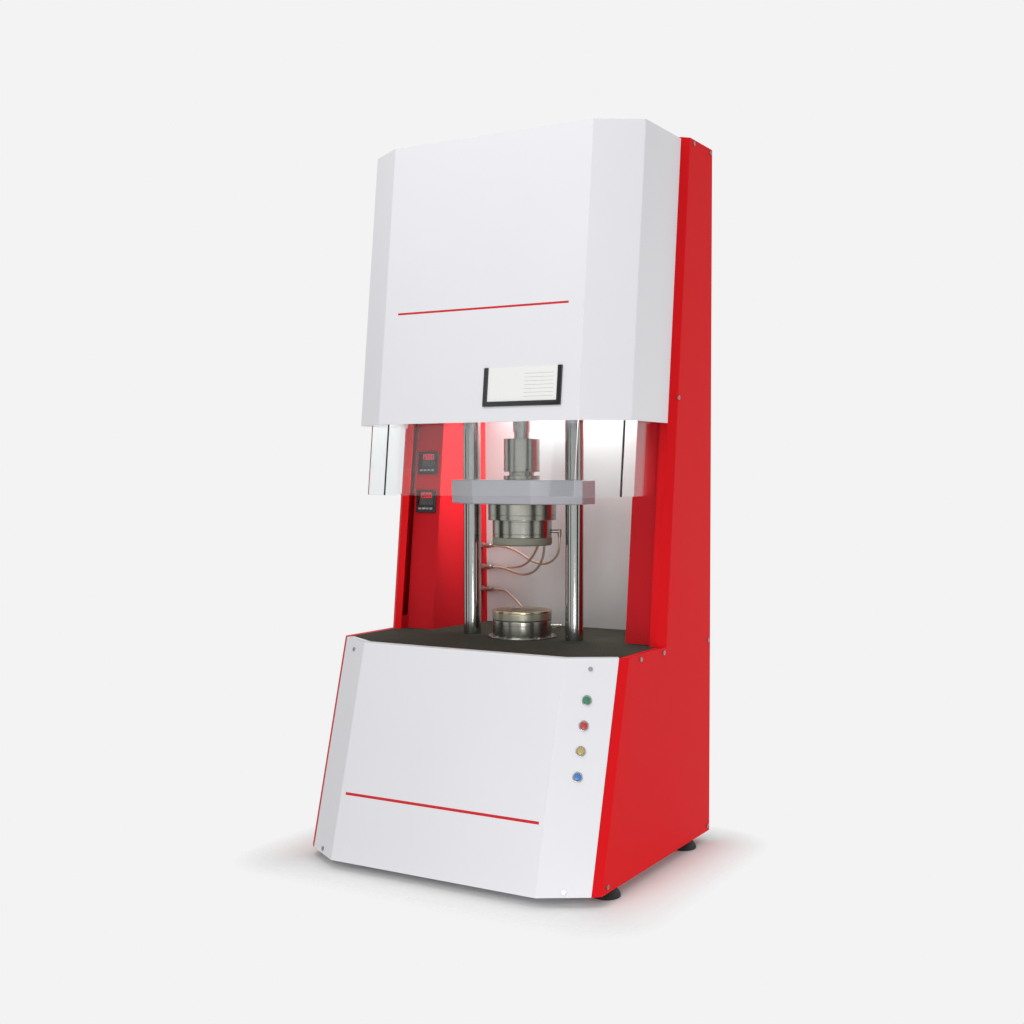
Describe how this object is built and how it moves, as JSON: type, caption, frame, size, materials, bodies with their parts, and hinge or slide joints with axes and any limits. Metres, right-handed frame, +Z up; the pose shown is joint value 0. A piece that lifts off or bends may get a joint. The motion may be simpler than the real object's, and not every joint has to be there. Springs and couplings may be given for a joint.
{
  "type": "moving die rheometer",
  "caption": "Floor-length cabinet instrument: a crosshead lowers a heated upper die on guide pillars onto an oscillating lower die behind a sliding clear shield.",
  "frame": {"origin": "on the floor under the middle of the cabinet's box", "axes": "+Z up, the front with the chamber and buttons faces -Y, +X to the right seen from the front"},
  "size_m": [0.628, 0.546, 1.37],
  "materials": {
    "frame_steel": "satin dark grey powder coat",
    "bed_steel": "ground steel",
    "table_rubber": "dark textured work top",
    "red_paint": "semi-gloss red powder coat",
    "white_paint": "satin white powder coat",
    "grey_paint": "light grey powder coat",
    "wall_steel": "brushed stainless sheet",
    "black_frame": "black",
    "card": "blank white card",
    "screw_steel": "bright zinc",
    "chrome_pillar": "hard chrome, ground",
    "aluminium_parts": "anodised",
    "crosshead_alu": "satin machined",
    "bronze": "bronze",
    "turned_steel": "turned stainless steel",
    "die_plate": "tinted die plate",
    "seal_grey": "grey seal",
    "motor_black": "black",
    "clear_acrylic": "clear acrylic sheet",
    "controller_black": "black moulded plastic",
    "bezel_chrome": "bright bezel",
    "green_cap": "green",
    "red_cap": "red",
    "yellow_cap": "yellow",
    "blue_cap": "blue",
    "nickel_fittings": "nickel plated",
    "braided_hose": "stainless wire braid"
  },
  "bodies": {
    "cabinet": {"base_frame": "frame_steel", "bed_plate": "bed_steel", "head_plate": "bed_steel", "table_mat": "table_rubber", "left_side_panel": "red_paint", "right_side_panel": "red_paint", "left_tower": "red_paint", "right_tower": "red_paint", "hood": "white_paint", "front_panel": "white_paint", "rear_panel": "grey_paint", "top_cover": "grey_paint", "base_tray": "grey_paint", "electronics_box": "grey_paint", "chamber_back_wall": "wall_steel", "label_holder": "black_frame", "feet": "black_frame", "label_card": "card", "panel_screws": "screw_steel", "pillar_nuts": "screw_steel", "tie_rods": "screw_steel", "left_pillar": "chrome_pillar", "right_pillar": "chrome_pillar", "cylinder_barrel": "aluminium_parts", "cylinder_caps": "aluminium_parts", "shield_cylinders": "aluminium_parts", "shield_rails": "aluminium_parts", "lower_guard_ring": "turned_steel", "bearing_housing": "turned_steel", "shaft_bearings": "turned_steel", "servo_motor": "motor_black", "upper_controller": "controller_black", "lower_controller": "controller_black", "power_inlet": "controller_black", "button_bezels": "bezel_chrome", "hose_glands": "nickel_fittings", "air_inlet": "nickel_fittings", "lower_hose": "braided_hose"},
    "crosshead": {"crosshead_plate": "crosshead_alu", "guide_bushes": "bronze", "piston_rod": "chrome_pillar", "rod_coupling": "turned_steel", "torque_cell_housing": "turned_steel", "upper_heater_block": "turned_steel", "upper_seal_ring": "seal_grey", "upper_die": "turned_steel", "upper_hose_fittings": "nickel_fittings", "upper_die_hoses": "braided_hose"},
    "rotor": {"lower_die_holder": "turned_steel", "lower_seal_ring": "seal_grey", "lower_die": "die_plate", "drive_shaft": "turned_steel"},
    "shield_assembly": {"shield": "clear_acrylic", "shield_carriers": "aluminium_parts", "shield_cylinder_rods": "chrome_pillar"},
    "green_cap": {"green_button": "green_cap"},
    "red_cap": {"red_button": "red_cap"},
    "yellow_cap": {"yellow_button": "yellow_cap"},
    "blue_cap": {"blue_button": "blue_cap"},
    "rocker": {"power_switch": "controller_black"}
  },
  "joints": [
    {"name": "crosshead_slide", "type": "slide", "parent": "cabinet", "child": "crosshead", "axis": [0, 0, -1], "range_m": [0, 0.127], "deforming": ["upper_die_hoses"]},
    {"name": "shield_slide", "type": "slide", "parent": "cabinet", "child": "shield_assembly", "axis": [0, -0.108, -0.9942], "range_m": [0, 0.245]},
    {"name": "lower_die_turn", "type": "hinge", "parent": "cabinet", "child": "rotor", "pos_m": [0, 0.06, 0.4], "axis": [0, 0, 1], "range_deg": [-3, 3]},
    {"name": "green_press", "type": "slide", "parent": "cabinet", "child": "green_cap", "axis": [-0.5173, 0.8262, -0.2231], "range_m": [0, 0.003], "stiffness_N_per_m": 400, "springref_m": -0.002},
    {"name": "red_press", "type": "slide", "parent": "cabinet", "child": "red_cap", "axis": [-0.5173, 0.8262, -0.2231], "range_m": [0, 0.003], "stiffness_N_per_m": 400, "springref_m": -0.002},
    {"name": "yellow_press", "type": "slide", "parent": "cabinet", "child": "yellow_cap", "axis": [-0.5173, 0.8262, -0.2231], "range_m": [0, 0.003], "stiffness_N_per_m": 400, "springref_m": -0.002},
    {"name": "blue_press", "type": "slide", "parent": "cabinet", "child": "blue_cap", "axis": [-0.5173, 0.8262, -0.2231], "range_m": [0, 0.003], "stiffness_N_per_m": 400, "springref_m": -0.002},
    {"name": "power_rock", "type": "hinge", "parent": "cabinet", "child": "rocker", "pos_m": [-0.1076, 0.252, 0.13], "axis": [1, 0, 0], "range_deg": [0, 14]}
  ]
}
